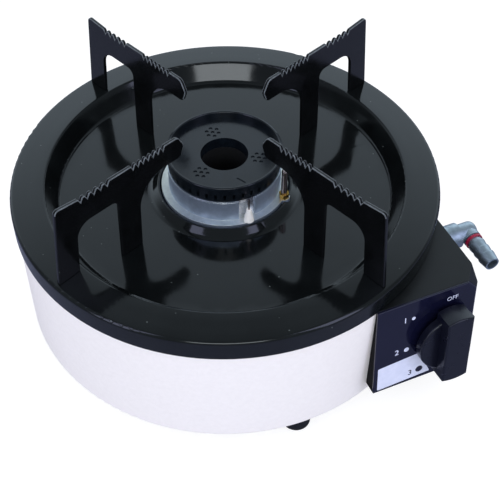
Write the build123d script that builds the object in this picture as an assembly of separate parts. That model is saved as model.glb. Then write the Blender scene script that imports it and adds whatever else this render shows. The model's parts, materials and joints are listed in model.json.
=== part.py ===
from build123d import *

import os
from math import atan2, cos, degrees, hypot, radians, sin, sqrt, tan

# Round camping gas burner: an enamelled spill tray on a steel drum, a ring burner with a loose cap,
# four upright pan supports, and a control box on the drum's side with a push and turn knob and a
# swivelling hose elbow. Millimetres. The origin is on the drum's axis at the surface the feet stand on,
# +Z is up and the fascia with the knob faces -Y.

# Drum, base and feet
drum_wall = 1.0
drum_bend = 3.0
drum_show = 83.3
drum_tuck = 9.0
base_flange = 22.0
base_thickness = 1.2
base_gap = 0.5
foot_radius = 9.5
foot_height = 12.5
foot_edge = 2.5
foot_inset = 11.8
foot_count = 4
foot_turn = -92.0
foot_recess_radius = 5.0
foot_recess_depth = 6.0
foot_screw_radius = 2.0
foot_screw_head_radius = 4.0
foot_screw_head = 2.5
foot_screw_past = 5.0
air_hole_radius = 7.0
air_hole_count = 12
air_hole_circle = 80.0
centre_air_radius = 20.0

# Spill tray
tray_radius = 140.8
tray_sheet = 1.0
skirt_height = 14.5
rim_rise = 1.4
rim_width = 22.6
tray_depth = 12.1
wall_run = 8.0
boss_run = 6.3
boss_height = 5.5
seat_step_run = 0.6
skirt_clearance = 0.5
rim_bend = 2.5
lip_bend = 2.0
floor_bend = 3.0
boss_bend = 6.0
seat_bend = 1.2
tray_screw_angles = (0.0, 75.0, 150.0)
tray_screw_rise = 5.0
tray_screw_radius = 1.5
tray_screw_head_radius = 3.0
tray_screw_head = 1.8
tray_screw_length = 7.0

# Pan supports
fin_count = 4
fin_turn = 20.8
fin_thickness = 2.4
fin_stand = 55.0
fin_rim_inset = 3.0
fin_outer_lean = 5.8
fin_tip_lift = 1.6
fin_outer_leg_width = 16.2
fin_outer_leg_taper = 3.0
fin_arch_top = 35.6
fin_inner_leg_share = 0.52
fin_inner_leg_width = 16.5
fin_inner_leg_taper = 2.0
fin_arch_taper = 1.5
fin_nose_over = 2.0
fin_nose_undercut = 3.0
fin_nose_depth = 16.4
fin_nose_slope = 9.5
fin_nose_length = 14.0
fin_arch_outer_round = 11.0
fin_arch_inner_round = 5.0
fin_throat_round = 22.0
fin_throat_share = 0.7
fin_arch_shares = (0.3, 0.45)
fin_tip_round = 3.0
fin_nose_round = 4.0
fin_outer_teeth_inset = 22.5
fin_outer_tooth_pitch = 4.9
fin_outer_tooth_count = 5
fin_inner_tooth_pitch = 3.9
fin_inner_tooth_count = 7
fin_tooth_depth = 2.8
fin_tooth_gap_share = 0.62
fin_tab_width = 8.0
fin_tab_past = 4.0
slot_clearance = 0.25

# Ring burner and loose cap
cup_radius = 37.0
cup_wall = 3.0
cup_show = 15.6
cup_depth = 19.9
cup_floor = 3.0
cup_tube_wall = 2.5
flange_width = 4.8
flange_room = 0.7
flange_thickness = 3.0
flange_drop = 0.3
flange_gap = 1.2
ear_clearance = 0.6
clamp_ring_inset = 4.0
clamp_ring_height = 5.0
clamp_ring_gap = 0.15
notch_width = 11.0
notch_depth = 2.0
cap_inset = 0.6
cap_height = 7.9
cap_flare = 1.6
cap_lip_height = 4.9
cap_lip_wall = 2.2
cap_edge = 1.0
cap_hole_radius = 15.5
cap_plate = 2.6
cap_skirt_wall = 1.5
cap_skirt_depth = 4.0
cap_fit = 0.3
port_count = 40
port_width = 1.7
port_height = 4.4
port_rise = 2.0
pit_from_hole = 7.1
pit_radius = 1.25
pit_depth = 0.7
pit_pitch = 4.0
pit_turns = (87.0, -33.0, -153.0)
pit_ring_count = 6
mark_from_hole = 11.7
mark_length = 6.7
mark_turn = 28.0
mark_width = 1.4
mark_depth = 0.5

# Spark electrode and thermocouple
electrode_turn = -90.0
electrode_out = 2.6
electrode_ear = 2.7
ceramic_radius = 1.9
bell_radius = 3.4
bell_top_radius = 1.6
ceramic_above = 9.3
ceramic_below = 14.0
ceramic_collar = 3.0
electrode_radius = 0.6
electrode_above = 18.0
electrode_below = 18.9
probe_turn = -45.0
probe_out = 4.6
probe_ear = 3.8
probe_radius = 2.1
probe_above = 23.0
probe_below = 11.9
probe_dome_share = 0.45
probe_nut_flats = 6.0
probe_nut_height = 3.4
seat_clearance = 0.1
running_clearance = 0.05

# Control box and fascia
box_width = 73.7
box_right_inset = 22.8
box_below_skirt = 0.8
box_height = 72.5
box_sheet = 1.2
box_front_inset = 4.3
box_gap = 0.3
box_back_share = 0.5
fascia_lean = 6.0
fascia_thickness = 1.6
facet_front = 10.8
facet_side = 13.8
facet_drop = 11.4
corner_front = 4.4
corner_side = 5.2
window_margin = 1.5

# Knob, spindle and gas valve
knob_from_right = 24.7
knob_above_bottom = 35.2
knob_radius = 22.0
knob_flat = 15.6
knob_gap = 3.8
knob_disc = 9.6
knob_grip = 17.6
knob_grip_radius = 26.8
knob_grip_width = 18.0
knob_edge = 1.4
knob_grip_edge = 1.2
knob_hub_radius = 7.0
knob_hub_depth = 2.5
knob_push_travel = 3.0
spindle_radius = 4.0
spindle_hole_gap = 0.6
spindle_into_knob = 9.0
tang_thickness = 3.0
tang_width = 7.0
tang_length = 7.0
tang_gap = 0.1
bracket_depth = 8.0
bracket_sheet = 1.5
bracket_side = 30.0
bracket_gap = 0.3
valve_nut_flats = 19.0
valve_nut_height = 4.0
bonnet_radius = 7.6
valve_radius = 10.5
valve_length = 47.0
collar_radius = 6.6
collar_height = 2.2
collar_room_start = 3.0
collar_room_length = 11.0
collar_room_gap = 0.3
plug_radius = 6.0
plug_length = 20.0
plug_slot_depth = 11.0
plug_room_past = 2.0
outlet_depth = 21.0
outlet_boss_radius = 5.5
outlet_boss_reach = 13.5
inlet_boss_radius = 5.5
inlet_boss_reach = 14.0
tube_radius = 3.0
tube_wall = 0.6
tube_socket = 3.0
piezo_radius = 7.0
piezo_length = 38.0
piezo_below = 20.0
piezo_collar_radius = 8.4
piezo_collar = 3.0
piezo_nose = 3.0

# Gas feed under the burner
feed_from_left = 14.2
feed_bend = 12.0
mix_radius = 9.0
mix_wall = 1.5
mix_bend = 18.0
mix_mouth_from_corner = 32.0
mix_socket_radius = 12.0
mix_socket_height = 7.0
air_collar_radius = 13.0
air_collar_lap = 10.0
air_collar_past = 13.0
air_collar_end = 3.0
air_window_length = 8.0
air_window_width = 10.0
jet_radius = 3.5
jet_tip_length = 6.0
jet_tip_radius = 2.4
jet_hex_flats = 12.0
jet_hex_length = 6.0
jet_bore_radius = 0.5

# Hose inlet and swivelling elbow
inlet_from_back = 12.0
inlet_below_top = 10.6
inlet_collar_radius = 8.4
inlet_collar_length = 10.6
inlet_thread_radius = 6.6
inlet_thread_length = 12.0
inlet_bore_radius = 2.6
inlet_nut_flats = 15.0
inlet_nut_height = 5.5
inlet_bend = 8.0
swivel_radius = 4.4
swivel_length = 9.0
swivel_gap = 0.4
seal_radius = 0.9
elbow_radius = 6.6
elbow_reach = 18.0
elbow_round = 4.2
tail_shoulder_radius = 6.0
tail_shoulder = 7.4
tail_core_radius = 5.0
tail_barb_radius = 5.65
tail_barb_land = 1.0
tail_barb_pitch = 5.6
tail_barb_count = 3
tail_first_barb = 12.4
tail_tip = 2.0
tail_tip_radius = 4.7
tail_bore_radius = 2.4
tail_mouth_radius = 3.7
tail_mouth_depth = 9.0
ring_radius = 5.9
ring_width = 1.7
ring_gap = 0.8

# Leads kept inside the drum, each point chosen by hand along its route
ignition_lead_radius = 1.4
probe_lead_radius = 1.1
ignition_route = ((76.0, -52.0, 25.0), (44.0, -36.0, 28.0), (8.0, -40.0, 48.0))
probe_route = ((40.0, -34.0, 66.0), (70.0, -46.0, 56.0))
lead_arc_share = 0.45
lead_straight = 14.0

overrun = 2.0

# Radii that follow from the sizes above
drum_radius = tray_radius - tray_sheet - skirt_clearance
foot_circle = drum_radius - foot_inset
rim_inner_radius = tray_radius - rim_width
tray_floor_radius = rim_inner_radius - wall_run
flange_radius = cup_radius + flange_width
seat_corner_radius = flange_radius + flange_room
seat_step_radius = seat_corner_radius + seat_step_run
boss_base_radius = seat_step_radius + boss_run
clamp_ring_radius = boss_base_radius - clamp_ring_inset
cup_inner_radius = cup_radius - cup_wall
tube_outer_radius = cap_hole_radius + cup_tube_wall
cap_radius = cup_radius - cap_inset
cap_flare_radius = cap_radius + cap_flare
cap_lip_radius = cap_flare_radius - cap_lip_wall
pit_circle = cap_hole_radius + pit_from_hole
mark_circle = cap_hole_radius + mark_from_hole
electrode_circle = cup_radius + electrode_out
probe_circle = cup_radius + probe_out
mix_rise_circle = (cup_inner_radius + tube_outer_radius) / 2
fin_foot_outer = tray_radius - fin_rim_inset
fin_tip_outer = fin_foot_outer - fin_outer_lean
fin_outer_leg_inner = fin_foot_outer - fin_outer_leg_width
fin_arch_outer = fin_outer_leg_inner - fin_outer_leg_taper
fin_leg_middle = boss_base_radius + fin_inner_leg_share * (tray_floor_radius - boss_base_radius)
fin_inner_leg_outer = fin_leg_middle + fin_inner_leg_width / 2
fin_inner_leg_inner = fin_leg_middle - fin_inner_leg_width / 2
fin_inner_leg_top = fin_inner_leg_inner - fin_inner_leg_taper
fin_arch_inner = fin_inner_leg_outer - fin_arch_taper
fin_nose_tip = cap_radius - fin_nose_over
fin_nose_under = fin_nose_tip + fin_nose_undercut
fin_nose_root = fin_nose_tip + fin_nose_length
fin_outer_teeth_start = fin_foot_outer - fin_outer_teeth_inset
fin_inner_teeth_start = fin_nose_root + fin_inner_tooth_count * fin_inner_tooth_pitch

# Heights and places that follow from the sizes above
drum_bottom = foot_height
skirt_bottom = drum_bottom + drum_show
drum_top = skirt_bottom + drum_tuck
rim_outer_z = skirt_bottom + skirt_height
rim_inner_z = rim_outer_z + rim_rise
tray_floor_z = rim_inner_z - tray_depth
boss_top_z = tray_floor_z + boss_height
flange_top_z = boss_top_z - flange_drop
seat_z = flange_top_z - flange_thickness
cup_top_z = flange_top_z + cup_show
cap_top_z = cup_top_z + cap_height
cap_lip_z = cap_top_z + cap_lip_height
cup_floor_z = flange_top_z - cup_depth
cup_bottom_z = cup_floor_z - cup_floor
seat_hole_radius = cup_radius + flange_gap
fin_top_z = rim_inner_z + fin_stand
base_top_z = drum_bottom + drum_wall + base_thickness
base_radius = drum_radius - drum_bend - base_gap
box_top_z = skirt_bottom - box_below_skirt
box_bottom_z = box_top_z - box_height
lean = radians(fascia_lean)
knob_z = box_bottom_z + knob_above_bottom
box_right = drum_radius - box_right_inset
box_left = box_right - box_width
box_front = drum_radius - box_front_inset
box_back = -drum_radius * box_back_share
box_side_back = sqrt((drum_radius + box_gap) ** 2 - box_right**2)
knob_x = box_right - knob_from_right
inlet_back = box_side_back + inlet_from_back
feed_corner_x = box_left + feed_from_left
upright = (Align.CENTER, Align.CENTER, Align.MIN)
hanging = (Align.CENTER, Align.CENTER, Align.MAX)


def fascia_y(z):
    """Y of the fascia's front at a height: it leans out towards its foot."""
    return -box_front - (box_top_z - z) * tan(lean)


# Frame of the fascia: X across, Y up along the fascia, Z out along the knob's axis
dial = Plane(
    origin=(knob_x, fascia_y(knob_z), knob_z), x_dir=(1, 0, 0), z_dir=(0, -cos(lean), sin(lean))
)


def on_dial(x, y, depth):
    """Place at a depth behind the fascia's front, in the fascia's frame."""
    return Location(dial) * Pos(x, y, -depth)


def dial_point(y, depth):
    """Point on the knob's mid-plane at a height above its axis and a depth behind the front."""
    return (dial.location * Pos(0, y, -depth)).position


outlet_point = dial_point(0, outlet_depth)
inlet_point = dial_point(0, (-inlet_back - dial.origin.Y) / cos(lean))
mix_z = outlet_point.Z
feed_angle = degrees(atan2(outlet_point.Y, feed_corner_x))
mix_mouth_circle = hypot(feed_corner_x, outlet_point.Y) - mix_mouth_from_corner
inlet_z = box_top_z - inlet_below_top
tail_x = box_right + elbow_reach
air_collar_start = mix_mouth_circle - air_collar_lap
air_collar_stop = mix_mouth_circle + air_collar_past
jet_back = air_collar_stop + jet_hex_length


def turned(angle):
    """Turn about the drum's axis."""
    return Rot(0, 0, angle)


def ring(outer, inner, low, high):
    """Upright ring on the drum's axis between two heights."""
    height = high - low
    return Pos(0, 0, low) * (
        Cylinder(outer, height, align=upright) - Cylinder(inner, height, align=upright)
    )


def hexagon(flats, height):
    """Hexagonal block standing on its seat."""
    return extrude(RegularPolygon(flats / 2, 6, major_radius=False), height)


def beside(points, distance):
    """The same path moved to its right by a distance, with mitred corners."""
    moved = []
    for index, point in enumerate(points):
        before = points[max(index - 1, 0)]
        after = points[min(index + 1, len(points) - 1)]
        first = Vector(*point) - Vector(*before) if index > 0 else Vector(*after) - Vector(*point)
        last = Vector(*after) - Vector(*point) if index < len(points) - 1 else first
        right_first = Vector(first.Y, -first.X).normalized()
        right_last = Vector(last.Y, -last.X).normalized()
        mitre = (right_first + right_last) / (1 + right_first.dot(right_last))
        place = Vector(*point) + mitre * distance
        moved.append((place.X, place.Y))
    return moved


def turns_right(before, point, after):
    """Whether a path bends to its right at a point."""
    first = Vector(*point) - Vector(*before)
    last = Vector(*after) - Vector(*point)
    return first.cross(last).Z < 0


def pressed_sheet(points, bends, thickness):
    """Body of revolution of a bent sheet: its outer path and the same path one thickness inside."""
    corners = zip(points, points[1:], points[2:], bends)
    inner_bends = [
        bend - thickness if turns_right(a, b, c) else bend + thickness for a, b, c, bend in corners
    ]
    inner = beside(points, thickness)
    with BuildSketch(Plane.XZ) as section:
        with BuildLine():
            FilletPolyline(*points, radius=list(bends))
            FilletPolyline(*inner, radius=inner_bends)
            Line(points[0], inner[0])
            Line(points[-1], inner[-1])
        make_face()
    return revolve(section.sketch, Axis.Z)


def turned_body(points):
    """Body of revolution about Z from a closed outline of radius and height."""
    outline = make_face(Polyline(*points, close=True))
    return revolve(Plane.XZ * outline, Axis.Z)


def swept_tube(path, radius, bore=0.0):
    """Round tube or wire along a path, with a bore where it has one."""
    start = Plane(origin=path @ 0, z_dir=path % 0)
    section = Circle(radius) - Circle(bore) if bore else Circle(radius)
    return sweep(start * section, path=path)


def drum_shell():
    """Rolled drum with a flange turned in at its foot and a window behind the control box."""
    path = (
        (drum_radius, drum_top),
        (drum_radius, drum_bottom),
        (drum_radius - base_flange, drum_bottom),
    )
    shell = pressed_sheet(path, (drum_bend,), drum_wall)
    low = box_bottom_z + box_sheet + window_margin
    high = box_top_z - box_sheet - window_margin
    left = box_left + box_sheet + window_margin
    right = box_right - box_sheet - window_margin
    window = Pos((left + right) / 2, 0, low) * Box(
        right - left, box_front, high - low, align=(Align.CENTER, Align.MAX, Align.MIN)
    )
    shell -= window
    for angle in tray_screw_angles:
        shell -= tray_screw_place(angle) * screw_hole(tray_screw_radius)
    return shell - foot_holes()


def foot_places():
    """Places of the feet on the surface, evenly round the drum."""
    return [turned(foot_turn + k * 360 / foot_count) * Pos(foot_circle, 0, 0) for k in range(foot_count)]


def foot_holes():
    """Clearance holes for the foot screws through flange and base plate."""
    reach = base_top_z + overrun
    hole = Cylinder(foot_screw_radius + slot_clearance, reach, align=upright)
    return [place * hole for place in foot_places()]


def base_plate():
    """Base disc on the drum's flange, with a ring of air holes and one in the middle."""
    plate = ring(base_radius, centre_air_radius, base_top_z - base_thickness, base_top_z)
    hole = Pos(air_hole_circle, 0, 0) * Cylinder(air_hole_radius, base_top_z + overrun, align=upright)
    plate -= [turned(k * 360 / air_hole_count) * hole for k in range(air_hole_count)]
    return plate - foot_holes()


def rubber_foot():
    """Rubber foot with a rounded tread edge and a recess for its screw."""
    foot = Cylinder(foot_radius, foot_height, align=upright)
    foot = fillet(foot.edges().sort_by(Axis.Z)[0], foot_edge)
    foot -= Cylinder(foot_recess_radius, foot_recess_depth, align=upright)
    return foot - Cylinder(foot_screw_radius + slot_clearance, foot_height, align=upright)


def foot_screw():
    """Pan head screw up through a foot, the flange and the base plate."""
    head_z = foot_recess_depth - foot_screw_head
    head = Pos(0, 0, head_z) * Cylinder(foot_screw_head_radius, foot_screw_head, align=upright)
    shank = base_top_z + foot_screw_past - head_z
    return head + Pos(0, 0, head_z) * Cylinder(foot_screw_radius, shank, align=upright)


def tray_screw_place(angle):
    """Place of a screw head on the skirt, its axis pointing out."""
    return turned(angle) * Pos(tray_radius, 0, skirt_bottom + tray_screw_rise) * Rot(0, 90, 0)


def screw_hole(radius):
    """Clearance hole for a screw through the skirt and the drum."""
    return Cylinder(radius + slot_clearance, tray_screw_length + overrun, align=hanging)


def tray_screw():
    """Pan head screw that holds the skirt to the drum; its head beds on the skirt's round side."""
    shank = Cylinder(tray_screw_radius, tray_screw_length, align=hanging)
    return shank + Cylinder(tray_screw_head_radius, tray_screw_head, align=upright)


def rim_z(radius):
    """Height of the rim's top at a radius."""
    return rim_outer_z + rim_rise * (tray_radius - radius) / (tray_radius - rim_inner_radius)


def top_tray():
    """Pressed spill tray: seat, boss, floor, wall, rim and skirt, slotted for the pan supports."""
    path = (
        (seat_hole_radius, seat_z),
        (seat_corner_radius, seat_z),
        (seat_step_radius, boss_top_z),
        (boss_base_radius, tray_floor_z),
        (tray_floor_radius, tray_floor_z),
        (rim_inner_radius, rim_inner_z),
        (tray_radius, rim_outer_z),
        (tray_radius, skirt_bottom),
    )
    seat_corner = seat_bend - tray_sheet / 2
    bends = (seat_corner, seat_bend, boss_bend, floor_bend, lip_bend, rim_bend)
    tray = pressed_sheet(path, bends, tray_sheet)
    slot = Box(
        fin_tab_width + 2 * slot_clearance,
        fin_thickness + 2 * slot_clearance,
        tray_depth + 2 * overrun,
    )
    slots = [
        Pos(outer_tab_circle(), 0, rim_inner_z) * slot,
        Pos(fin_leg_middle, 0, tray_floor_z) * slot,
    ]
    for k in range(fin_count):
        tray -= [turned(fin_turn + k * 360 / fin_count) * cut for cut in slots]
    tray -= ear_block(electrode_turn, electrode_circle, electrode_ear + ear_clearance)
    tray -= ear_block(probe_turn, probe_circle, probe_ear + ear_clearance)
    for angle in tray_screw_angles:
        tray -= tray_screw_place(angle) * screw_hole(tray_screw_radius)
    return tray


def ear_block(angle, circle, radius):
    """Upright cylinder where an ear of the burner flange stands, tall enough to clear the tray."""
    low = seat_z - tray_sheet - overrun
    high = boss_top_z + overrun
    return turned(angle) * Pos(circle, 0, low) * Cylinder(radius, high - low, align=upright)


def outer_tab_circle():
    """Radius of the middle of the tab through the rim."""
    return (fin_foot_outer + fin_outer_leg_inner) / 2


def tooth_notch(start, pitch, index):
    """Notch between two teeth of a pan support's top edge."""
    middle = start - (index + fin_tooth_gap_share / 2) * pitch
    half = pitch * fin_tooth_gap_share / 2
    top = fin_top_z + fin_tip_lift
    slope = half * (top - fin_top_z + fin_tooth_depth) / fin_tooth_depth
    return make_face(
        Polyline(
            (middle - slope, top), (middle, fin_top_z - fin_tooth_depth), (middle + slope, top), close=True
        )
    )


def pan_support():
    """Upright plate: outer leg on the rim, inner leg on the floor, toothed top and a nose over the cap."""
    arch_z = rim_inner_z + fin_arch_top
    nose_z = fin_top_z - fin_nose_depth
    throat_round = min(fin_throat_round, fin_throat_share * (fin_inner_leg_top - fin_nose_under))
    arch_limits = [share * (fin_arch_outer - fin_arch_inner) for share in fin_arch_shares]
    corners = (
        ((fin_outer_leg_inner, rim_z(fin_outer_leg_inner)), 0),
        ((fin_foot_outer, rim_z(fin_foot_outer)), 0),
        ((fin_tip_outer, fin_top_z + fin_tip_lift), fin_tip_round),
        ((fin_outer_teeth_start, fin_top_z), 0),
        ((fin_nose_root, fin_top_z), 0),
        ((fin_nose_root - fin_nose_slope, fin_top_z), fin_nose_round),
        ((fin_nose_tip, fin_top_z - fin_nose_depth / 2), fin_nose_round),
        ((fin_nose_under, nose_z), fin_nose_round),
        ((fin_inner_leg_top, nose_z), throat_round),
        ((fin_inner_leg_inner, tray_floor_z), 0),
        ((fin_inner_leg_outer, tray_floor_z), 0),
        ((fin_arch_inner, arch_z), min(fin_arch_inner_round, arch_limits[0])),
        ((fin_arch_outer, arch_z), min(fin_arch_outer_round, arch_limits[1])),
    )
    outline = make_face(Polyline(*[point for point, _ in corners], close=True))
    for point, round_radius in corners:
        if round_radius:
            corner = outline.vertices().sort_by_distance(Vector(*point))[0]
            outline = fillet(corner, round_radius)
    for index in range(fin_outer_tooth_count):
        outline -= tooth_notch(fin_outer_teeth_start, fin_outer_tooth_pitch, index)
    for index in range(fin_inner_tooth_count):
        outline -= tooth_notch(fin_inner_teeth_start, fin_inner_tooth_pitch, index)
    outer_low = rim_outer_z - tray_sheet - fin_tab_past
    inner_low = tray_floor_z - tray_sheet - fin_tab_past
    outline += tab_face(outer_tab_circle(), outer_low, rim_outer_z)
    outline += tab_face(fin_leg_middle, inner_low, tray_floor_z)
    return extrude(Plane.XZ * outline, fin_thickness / 2, both=True)


def tab_face(middle, low, seat):
    """Tab under a leg, from below the sheet into the leg."""
    height = seat + fin_arch_top / 2 - low
    return Pos(middle, low + height / 2) * Rectangle(fin_tab_width, height)


def burner_cup():
    """Die-cast ring cup: flange on the tray's seat, outer wall, middle air tube, floor and feed socket."""
    cup = turned_body(
        (
            (cap_hole_radius, cup_bottom_z),
            (cup_radius, cup_bottom_z),
            (cup_radius, seat_z),
            (flange_radius, seat_z),
            (flange_radius, flange_top_z),
            (cup_radius, flange_top_z),
            (cup_radius, cup_top_z),
            (cup_inner_radius, cup_top_z),
            (cup_inner_radius, cup_floor_z),
            (tube_outer_radius, cup_floor_z),
            (tube_outer_radius, cup_top_z),
            (cap_hole_radius, cup_top_z),
        )
    )
    ears = (
        (electrode_turn, electrode_circle, electrode_ear, ceramic_radius),
        (probe_turn, probe_circle, probe_ear, probe_radius),
    )
    keep_out = Pos(0, 0, seat_z) * Cylinder(cup_radius, flange_thickness, align=upright)
    for angle, circle, radius, hole in ears:
        ear = Pos(circle, 0, seat_z) * Cylinder(radius, flange_thickness, align=upright)
        cup += turned(angle) * ear - keep_out
        drill = Pos(circle, 0, seat_z) * Cylinder(hole + seat_clearance, flange_thickness, align=upright)
        cup -= turned(angle) * drill
    notch = Pos(cup_radius - notch_depth, 0, flange_top_z) * Box(
        cup_wall, notch_width, cup_show, align=(Align.MIN, Align.CENTER, Align.MIN)
    )
    cup -= turned(electrode_turn) * notch
    socket_low = cup_bottom_z - mix_socket_height
    socket = Cylinder(mix_socket_radius, mix_socket_height, align=upright)
    bore = Cylinder(mix_radius + running_clearance, mix_socket_height + cup_floor, align=upright)
    place = turned(feed_angle) * Pos(mix_rise_circle, 0, socket_low)
    cup += place * socket - Cylinder(cap_hole_radius, cup_bottom_z, align=upright)
    return cup - place * bore


def clamp_ring():
    """Ring nut under the tray's seat that clamps the cup, drilled for the electrode and the probe."""
    high = seat_z - tray_sheet
    nut = ring(clamp_ring_radius, cup_radius + clamp_ring_gap, high - clamp_ring_height, high)
    tall = overrun + clamp_ring_height
    for angle, circle, radius in (
        (electrode_turn, electrode_circle, ceramic_radius),
        (probe_turn, probe_circle, probe_radius),
    ):
        room = Cylinder(radius + ear_clearance, 2 * tall)
        nut -= turned(angle) * Pos(circle, 0, high) * room
    return nut


def burner_cap():
    """Loose cap: port wall with a raised lip, plate with a middle hole, locating skirt, pits and a mark."""
    skirt_outer = cup_inner_radius - cap_fit
    skirt_inner = skirt_outer - cap_skirt_wall
    plate_z = cap_top_z - cap_plate
    cap = turned_body(
        (
            (cap_hole_radius, cup_top_z),
            (tube_outer_radius, cup_top_z),
            (tube_outer_radius, plate_z),
            (skirt_inner, plate_z),
            (skirt_inner, cup_top_z - cap_skirt_depth),
            (skirt_outer, cup_top_z - cap_skirt_depth),
            (skirt_outer, cup_top_z),
            (cap_radius, cup_top_z),
            (cap_flare_radius, cap_lip_z),
            (cap_lip_radius, cap_lip_z),
            (cap_lip_radius, cap_top_z),
            (cap_hole_radius, cap_top_z),
        )
    )
    lip = cap.edges().filter_by(GeomType.CIRCLE).group_by(Axis.Z)[-1]
    cap = fillet(lip, cap_edge)
    port = Pos(cap_radius, 0, cup_top_z + port_rise) * Box(
        2 * (cap_radius - skirt_inner) + overrun, port_width, port_height, align=upright
    )
    cap -= [turned((k + 1 / 2) * 360 / port_count) * port for k in range(port_count)]
    pit = Pos(0, 0, cap_top_z) * Cylinder(pit_radius, 2 * pit_depth)
    for angle in pit_turns:
        middle = turned(angle) * Pos(pit_circle, 0, 0)
        cap -= middle * pit
        for k in range(pit_ring_count):
            cap -= middle * turned(k * 360 / pit_ring_count) * Pos(pit_pitch, 0, 0) * pit
    mark = Pos(mark_circle, 0, cap_top_z) * turned(mark_turn) * Box(mark_length, mark_width, 2 * mark_depth)
    return cap - turned(electrode_turn) * mark


def electrode_insulator():
    """Ceramic sleeve through the flange, a bell above it and a collar under it, bored for the electrode."""
    low = seat_z - ceramic_below
    sleeve = Pos(0, 0, low) * Cylinder(ceramic_radius, flange_top_z - low, align=upright)
    sleeve += Pos(0, 0, flange_top_z) * Cone(bell_radius, bell_top_radius, ceramic_above, align=upright)
    widest = electrode_circle - cup_radius - seat_clearance
    collar = Pos(0, 0, seat_z) * Cylinder(widest, ceramic_collar, align=hanging)
    bore = Cylinder(electrode_radius + running_clearance, cap_top_z, align=upright)
    return turned(electrode_turn) * Pos(electrode_circle, 0, 0) * (sleeve + collar - bore)


def electrode_pin():
    """Spark electrode wire through the ceramic."""
    low = seat_z - electrode_below
    wire = Cylinder(electrode_radius, flange_top_z + electrode_above - low, align=upright)
    return turned(electrode_turn) * Pos(electrode_circle, 0, low) * wire


def thermocouple_probe():
    """Round probe through its ear, domed at the top."""
    low = seat_z - probe_below
    rod = Cylinder(probe_radius, flange_top_z + probe_above - low, align=upright)
    rod = fillet(rod.edges().sort_by(Axis.Z)[-1], probe_radius * probe_dome_share)
    return turned(probe_turn) * Pos(probe_circle, 0, low) * rod


def thermocouple_nut():
    """Brass nut that holds the probe on its ear."""
    nut = hexagon(probe_nut_flats, probe_nut_height)
    nut -= Cylinder(probe_radius + running_clearance, probe_nut_height, align=upright)
    return turned(probe_turn) * Pos(probe_circle, 0, flange_top_z) * nut


def cut_plane(first, second, third, inset):
    """Plane through three points whose normal leaves the drum, moved inwards by an inset."""
    first, second, third = Vector(*first), Vector(*second), Vector(*third)
    normal = (second - first).cross(third - first).normalized()
    if normal.dot(first) < 0:
        normal = normal * -1
    return Plane(origin=first - normal * inset, x_dir=second - first, z_dir=normal)


def housing_block(inset, front_extra):
    """Solid outline of the control box: leaning front, cut corner and facet, with its walls moved in."""
    low, high = box_bottom_z + inset, box_top_z - inset
    side = make_face(
        Polyline(
            (fascia_y(high) - front_extra, high),
            (fascia_y(low) - front_extra, low),
            (box_back, low),
            (box_back, high),
            close=True,
        )
    )
    width = box_right - box_left - 2 * inset
    block = extrude(Plane.YZ * side, width).moved(Pos(box_left + inset, 0, 0))
    top_y, low_y = fascia_y(box_top_z), fascia_y(box_bottom_z)
    facet = cut_plane(
        (box_right - facet_front, top_y, box_top_z),
        (box_right, top_y + facet_side, box_top_z),
        (box_right, top_y, box_top_z - facet_drop),
        inset,
    )
    corner = cut_plane(
        (box_right - corner_front, top_y, box_top_z),
        (box_right - corner_front, low_y, box_bottom_z),
        (box_right, top_y + corner_side, box_top_z),
        inset,
    )
    block = split(block, bisect_by=facet, keep=Keep.BOTTOM)
    return split(block, bisect_by=corner, keep=Keep.BOTTOM)


def fascia_back():
    """Plane of the fascia's back face."""
    return dial.offset(-fascia_thickness)


def control_box():
    """Folded box open to the fascia and to the drum, with a hole for the hose inlet."""
    shell = split(housing_block(0, 0), bisect_by=fascia_back(), keep=Keep.BOTTOM)
    shell -= housing_block(box_sheet, box_sheet + overrun)
    shell -= Cylinder(drum_radius + box_gap, 2 * fin_top_z)
    hole = Cylinder(inlet_thread_radius + seat_clearance, 2 * overrun + box_sheet)
    return shell - inlet_place(box_right) * hole


def inlet_place(x):
    """Place on the hose inlet's axis, pointing out of the box's side."""
    return Pos(x, -inlet_back, inlet_z) * Rot(0, 90, 0)


def fascia_panel():
    """Leaning front panel with the spindle's hole."""
    panel = split(housing_block(0, 0), bisect_by=fascia_back(), keep=Keep.TOP)
    hole = Cylinder(spindle_radius + spindle_hole_gap, 2 * fascia_thickness + overrun)
    return panel - on_dial(0, 0, 0) * hole


def valve_bracket():
    """Plate behind the fascia that carries the valve and the igniter, edges close to the box's walls."""
    half = bracket_side
    right = box_right - box_sheet - bracket_gap - knob_x
    up = (box_top_z - box_sheet - bracket_gap - knob_z) / cos(lean)
    up -= (bracket_depth + bracket_sheet) * tan(lean)
    down = (knob_z - box_bottom_z - box_sheet - bracket_gap) / cos(lean)
    down -= (bracket_depth + bracket_sheet) * tan(lean)
    plate = on_dial((right - half) / 2, (up - down) / 2, bracket_depth + bracket_sheet / 2) * Box(
        right + half, up + down, bracket_sheet
    )
    plate &= housing_block(box_sheet + bracket_gap, overrun)
    for y, radius in ((0, bonnet_radius), (-piezo_below, piezo_radius)):
        hole = Cylinder(radius + seat_clearance, 2 * bracket_sheet + overrun)
        plate -= on_dial(0, y, bracket_depth + bracket_sheet / 2) * hole
    return plate


def valve_front():
    """Depth of the valve body's front shoulder, on the bracket's back."""
    return bracket_depth + bracket_sheet


def behind(depth, radius, length):
    """Cylinder on the knob's axis from a depth further back."""
    return on_dial(0, 0, depth) * Cylinder(radius, length, align=hanging)


def bonnet_length():
    """Length of the valve's threaded neck through the bracket and its nut."""
    return bracket_sheet + valve_nut_height


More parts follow.
